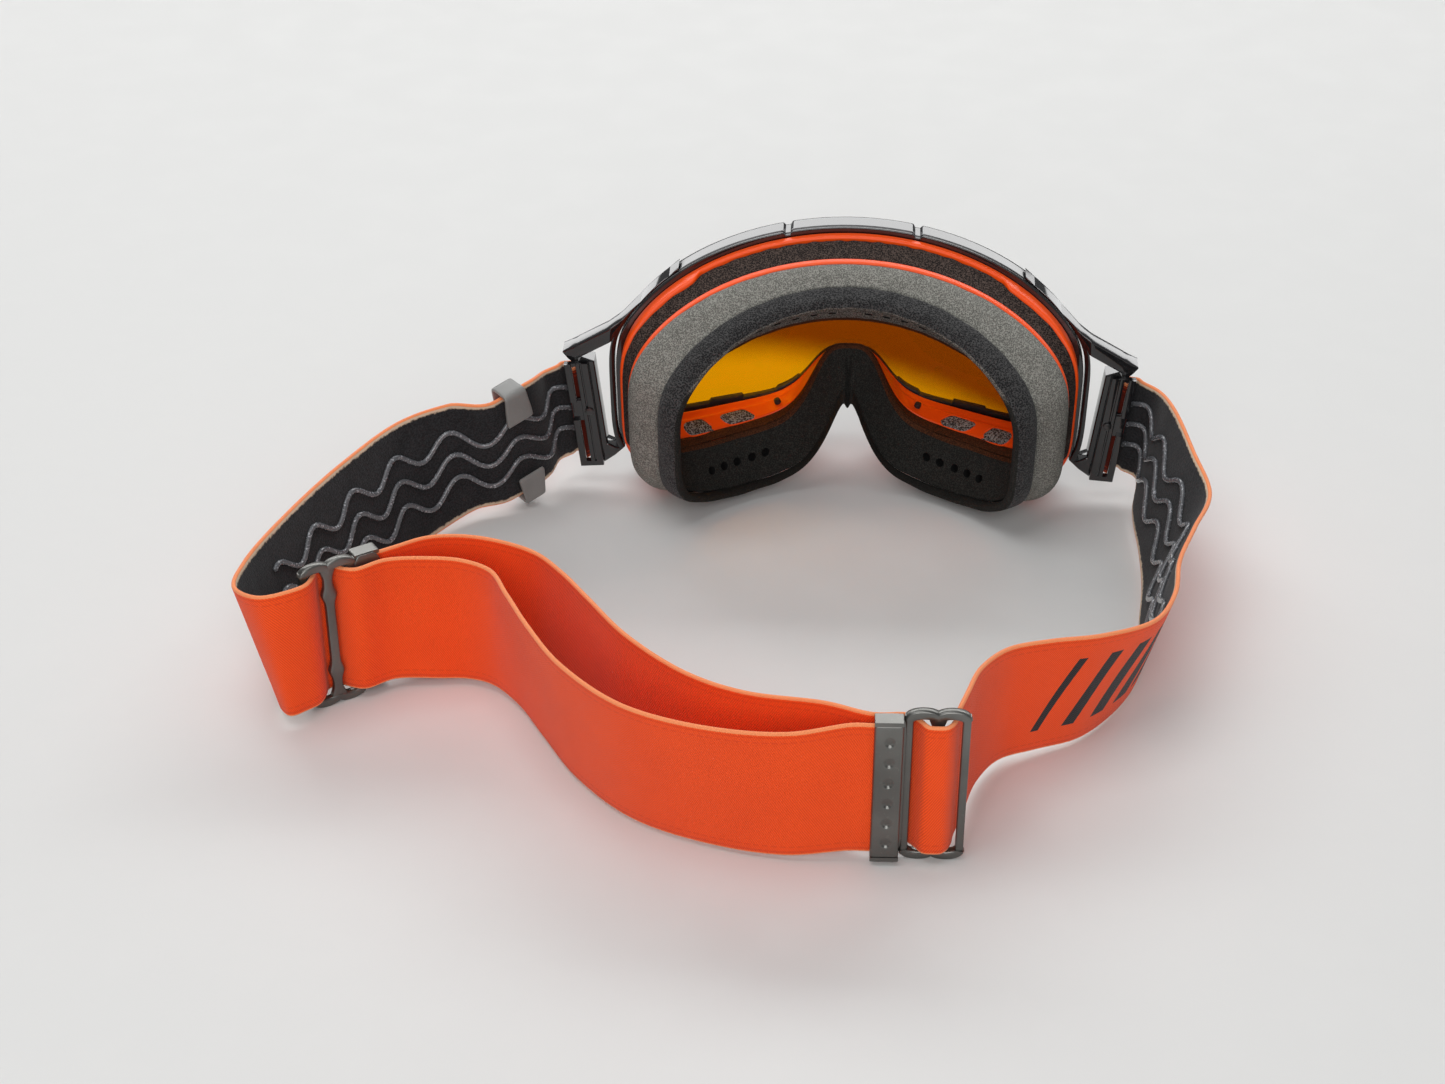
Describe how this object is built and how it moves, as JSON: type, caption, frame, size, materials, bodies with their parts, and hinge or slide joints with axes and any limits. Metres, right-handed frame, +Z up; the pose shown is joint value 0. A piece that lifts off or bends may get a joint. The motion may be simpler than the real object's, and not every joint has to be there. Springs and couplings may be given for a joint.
{
  "type": "motocross goggles",
  "caption": "Motocross goggles with a wrapped frame, tinted lens, layered face foam, outriggers with swivelling strap anchors, and a webbing strap with two adjusters and a keeper clip.",
  "frame": {"origin": "centre of the whole part's footprint, on the floor it stands on", "axes": "+X to the wearer's right as seen from behind the face foam, +Y out through the lens, +Z up"},
  "size_m": [0.3057, 0.251, 0.0952],
  "materials": {
    "gloss_black": "high gloss",
    "orange_plastic": "satin moulded",
    "amber_lens": "clear tint",
    "soft_black": "matte",
    "vent_foam": "open-cell foam",
    "grey_foam": "foam",
    "charcoal_fleece": "brushed fleece",
    "steel_pin": "satin",
    "orange_strap": "woven twill",
    "gunmetal": "satin",
    "grey_clip": "satin",
    "clear_silicone": "gloss"
  },
  "bodies": {
    "goggles": {"outer_frame": "gloss_black", "inner_frame": "orange_plastic", "vent_foam_top": "vent_foam", "vent_pad_left_inner": "vent_foam", "vent_pad_left_outer": "vent_foam", "vent_pad_right_inner": "vent_foam", "vent_pad_right_outer": "vent_foam", "frame_pin_left": "soft_black", "frame_pin_right": "soft_black", "face_foam_base": "grey_foam", "face_foam_fleece": "charcoal_fleece", "outrigger_left": "gloss_black", "outrigger_right": "gloss_black", "anchor_pin_left": "steel_pin", "anchor_pin_right": "steel_pin", "strap_left": "orange_strap", "strap_right": "orange_strap", "grip_bead_left_1": "clear_silicone", "grip_bead_left_2": "clear_silicone", "grip_bead_left_3": "clear_silicone", "grip_bead_right_1": "clear_silicone", "grip_bead_right_2": "clear_silicone", "grip_bead_right_3": "clear_silicone"},
    "lens_set": {"lens": "amber_lens", "lens_carrier": "soft_black"},
    "left_anchor": {"strap_anchor_left": "gloss_black", "strap_rod_left": "steel_pin"},
    "right_anchor": {"strap_anchor_right": "gloss_black", "strap_rod_right": "steel_pin"},
    "left_adjuster": {"adjuster_left": "gunmetal", "adjuster_crimp_left": "gunmetal"},
    "right_adjuster": {"adjuster_right": "gunmetal", "adjuster_crimp_right": "gunmetal"},
    "slider": {"strap_slider": "grey_clip"}
  },
  "joints": [
    {"name": "lens_release", "type": "slide", "parent": "goggles", "child": "lens_set", "axis": [0, 0.9877, 0.1564], "range_m": [0, 0.015]},
    {"name": "left_strap_swivel", "type": "hinge", "parent": "goggles", "child": "left_anchor", "pos_m": [-0.0581, 0.08177, 0.03299], "axis": [0, 0.9877, 0.1564], "range_deg": [-6, 6], "deforming": ["strap_left", "grip_bead_left_1", "grip_bead_left_2", "grip_bead_left_3"]},
    {"name": "right_strap_swivel", "type": "hinge", "parent": "goggles", "child": "right_anchor", "pos_m": [0.1235, 0.08177, 0.03299], "axis": [0, 0.9877, 0.1564], "range_deg": [-6, 6], "deforming": ["strap_right", "grip_bead_right_1", "grip_bead_right_2", "grip_bead_right_3"]},
    {"name": "left_adjuster_slide", "type": "slide", "parent": "goggles", "child": "left_adjuster", "axis": [0.8131, 0.5821, 0], "range_m": [-0.01, 0.012], "deforming": ["strap_left", "strap_right"]},
    {"name": "right_adjuster_slide", "type": "slide", "parent": "goggles", "child": "right_adjuster", "axis": [-0.9996, -0.0297, 0], "range_m": [-0.01, 0.012], "deforming": ["strap_left", "strap_right"]},
    {"name": "strap_slider_slide", "type": "slide", "parent": "goggles", "child": "slider", "axis": [-0.7182, -0.6659, -0.2019], "range_m": [-0.008, 0.008], "deforming": ["strap_left", "grip_bead_left_1", "grip_bead_left_2", "grip_bead_left_3"]}
  ]
}
